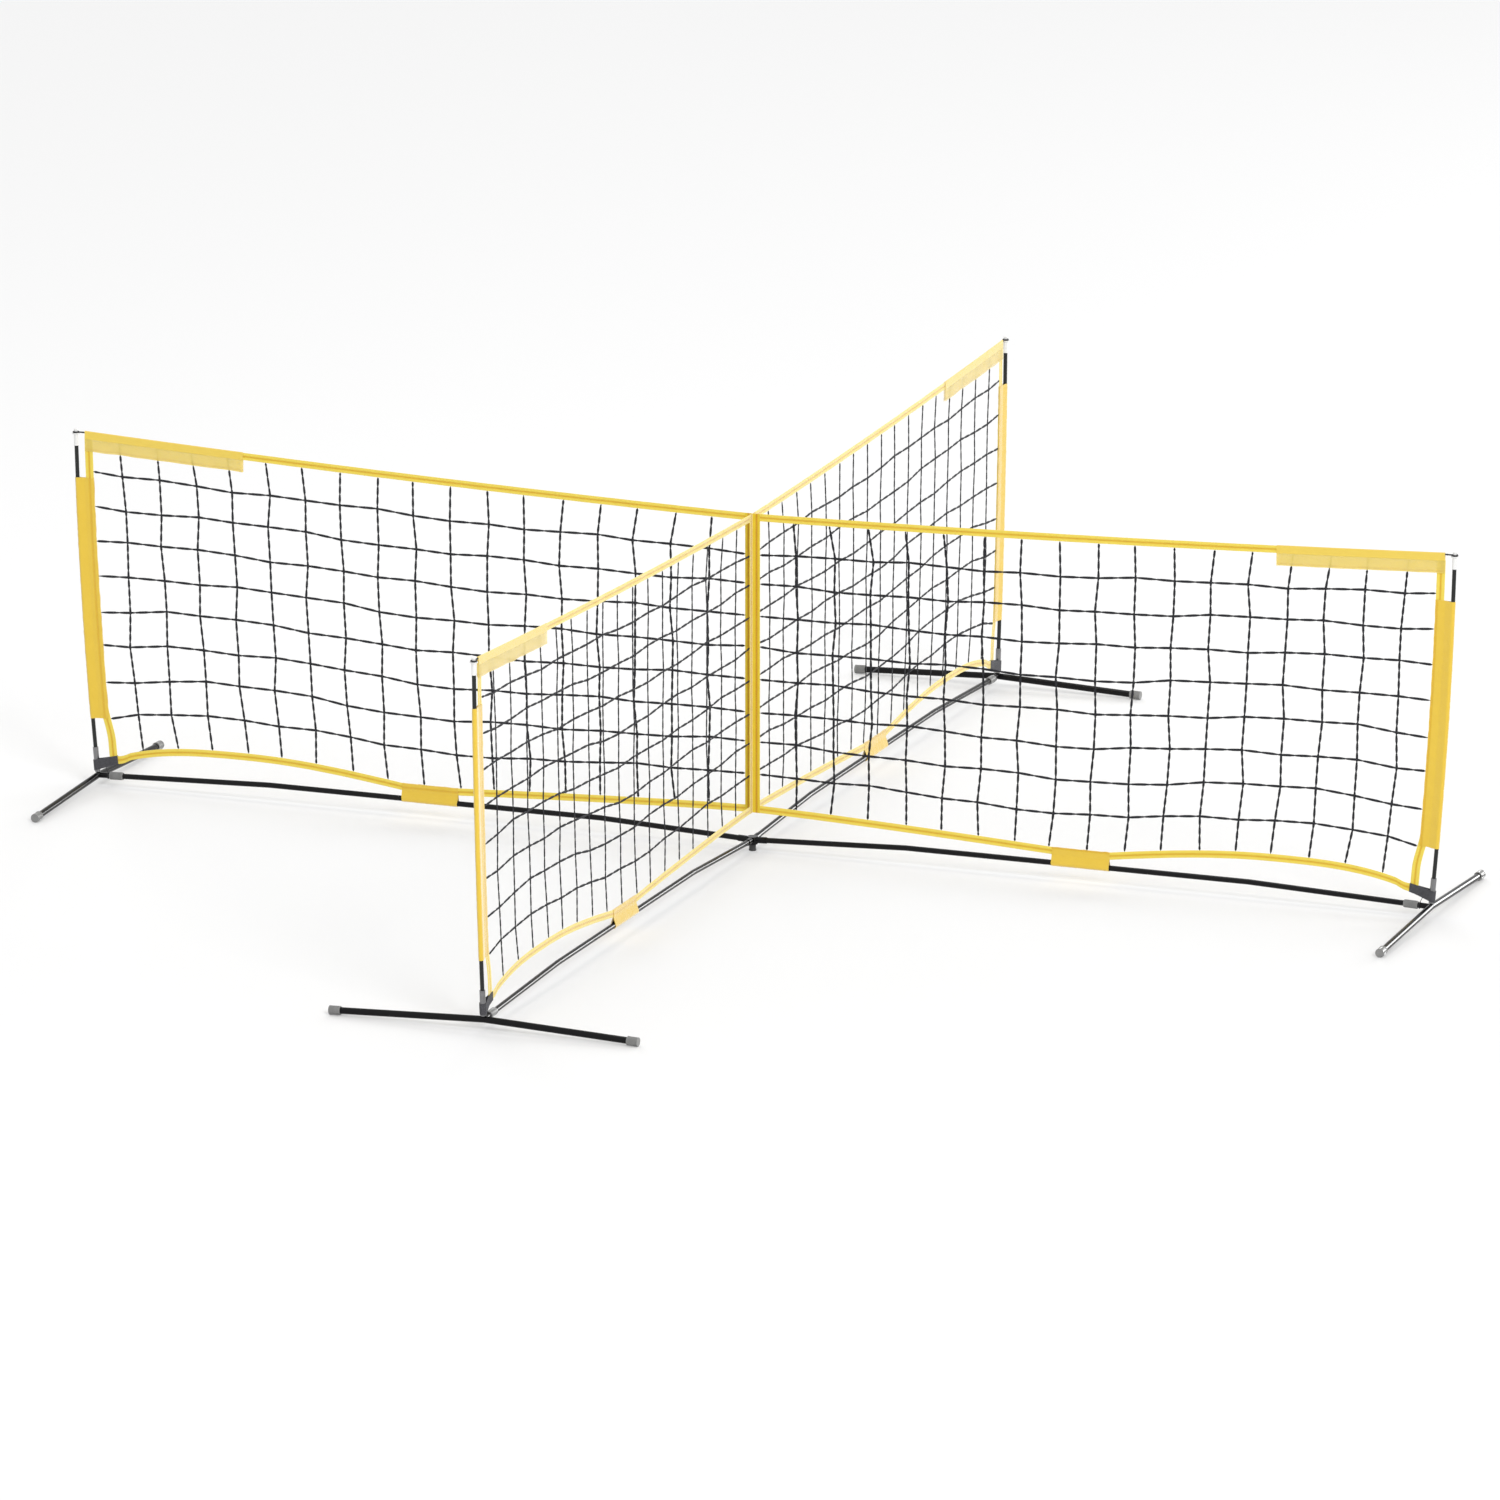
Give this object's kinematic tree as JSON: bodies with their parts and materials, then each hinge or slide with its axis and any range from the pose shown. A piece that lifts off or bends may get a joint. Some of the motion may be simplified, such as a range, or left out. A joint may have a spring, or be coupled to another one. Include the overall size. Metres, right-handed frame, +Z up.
{
  "type": "four-way volleyball net",
  "caption": "Free-standing cross of yellow-edged net panels held low over the ground by bowed posts on T-shaped feet, joined by ground poles at a central hub.",
  "frame": {"origin": "on the ground under the centre of the hub, where the four panels meet", "axes": "+Z up; the panels lie in the XZ and YZ planes; all four arms are alike"},
  "size_m": [4.1332, 4.1332, 1.0418],
  "materials": {
    "black_tube": "gloss powder coat",
    "black_rod": "gloss fibreglass",
    "socket_metal": "drawn tube",
    "grey_plastic": "ribbed, satin",
    "black_plastic": "moulded",
    "dark_rubber": "satin",
    "white_plastic": "moulded",
    "net_cord": "twisted flat cord",
    "yellow_tape": "woven tape with a centre stitch",
    "yellow_cloth": "plain weave",
    "dark_webbing": "webbing",
    "black_cord": "braided cord"
  },
  "bodies": {
    "frame_and_net": {"right_foot": "black_tube", "right_post_socket": "socket_metal", "right_post": "black_rod", "right_ground_pole": "black_tube", "right_net_mesh": "net_cord", "right_top_tape": "yellow_tape", "right_bottom_tape": "yellow_tape", "right_side_tape": "yellow_tape", "right_top_band": "yellow_cloth", "right_post_sleeve": "yellow_cloth", "right_pole_sleeve": "yellow_cloth", "right_strap": "dark_webbing", "back_foot": "black_tube", "back_post_socket": "socket_metal", "back_post": "black_rod", "back_ground_pole": "black_tube", "back_net_mesh": "net_cord", "back_top_tape": "yellow_tape", "back_bottom_tape": "yellow_tape", "back_side_tape": "yellow_tape", "back_top_band": "yellow_cloth", "back_post_sleeve": "yellow_cloth", "back_pole_sleeve": "yellow_cloth", "back_strap": "dark_webbing", "left_foot": "black_tube", "left_post_socket": "socket_metal", "left_post": "black_rod", "left_ground_pole": "black_tube", "left_net_mesh": "net_cord", "left_top_tape": "yellow_tape", "left_bottom_tape": "yellow_tape", "left_side_tape": "yellow_tape", "left_top_band": "yellow_cloth", "left_post_sleeve": "yellow_cloth", "left_pole_sleeve": "yellow_cloth", "left_strap": "dark_webbing", "front_foot": "black_tube", "front_post_socket": "socket_metal", "front_post": "black_rod", "front_ground_pole": "black_tube", "front_net_mesh": "net_cord", "front_top_tape": "yellow_tape", "front_bottom_tape": "yellow_tape", "front_side_tape": "yellow_tape", "front_top_band": "yellow_cloth", "front_post_sleeve": "yellow_cloth", "front_pole_sleeve": "yellow_cloth", "front_strap": "dark_webbing", "hub": "black_plastic", "hub_foot": "dark_rubber", "centre_seam": "yellow_tape", "foot_caps": "grey_plastic", "top_caps": "white_plastic", "corner_cords": "black_cord", "tie_cords": "black_cord"},
    "right_collar": {"right_lock_collar": "grey_plastic"},
    "back_collar": {"back_lock_collar": "grey_plastic"},
    "left_collar": {"left_lock_collar": "grey_plastic"},
    "front_collar": {"front_lock_collar": "grey_plastic"}
  },
  "joints": [
    {"name": "right_collar_twist", "type": "hinge", "parent": "frame_and_net", "child": "right_collar", "pos_m": [1.94204, 0, 0.03313], "axis": [0.9993, 0, -0.0368], "range_deg": [0, 90]},
    {"name": "back_collar_twist", "type": "hinge", "parent": "frame_and_net", "child": "back_collar", "pos_m": [0, 1.94204, 0.03313], "axis": [0, 0.9993, -0.0368], "range_deg": [0, 90]},
    {"name": "left_collar_twist", "type": "hinge", "parent": "frame_and_net", "child": "left_collar", "pos_m": [-1.94204, 0, 0.03313], "axis": [-0.9993, 0, -0.0368], "range_deg": [0, 90]},
    {"name": "front_collar_twist", "type": "hinge", "parent": "frame_and_net", "child": "front_collar", "pos_m": [0, -1.94204, 0.03313], "axis": [0, -0.9993, -0.0368], "range_deg": [0, 90]}
  ]
}
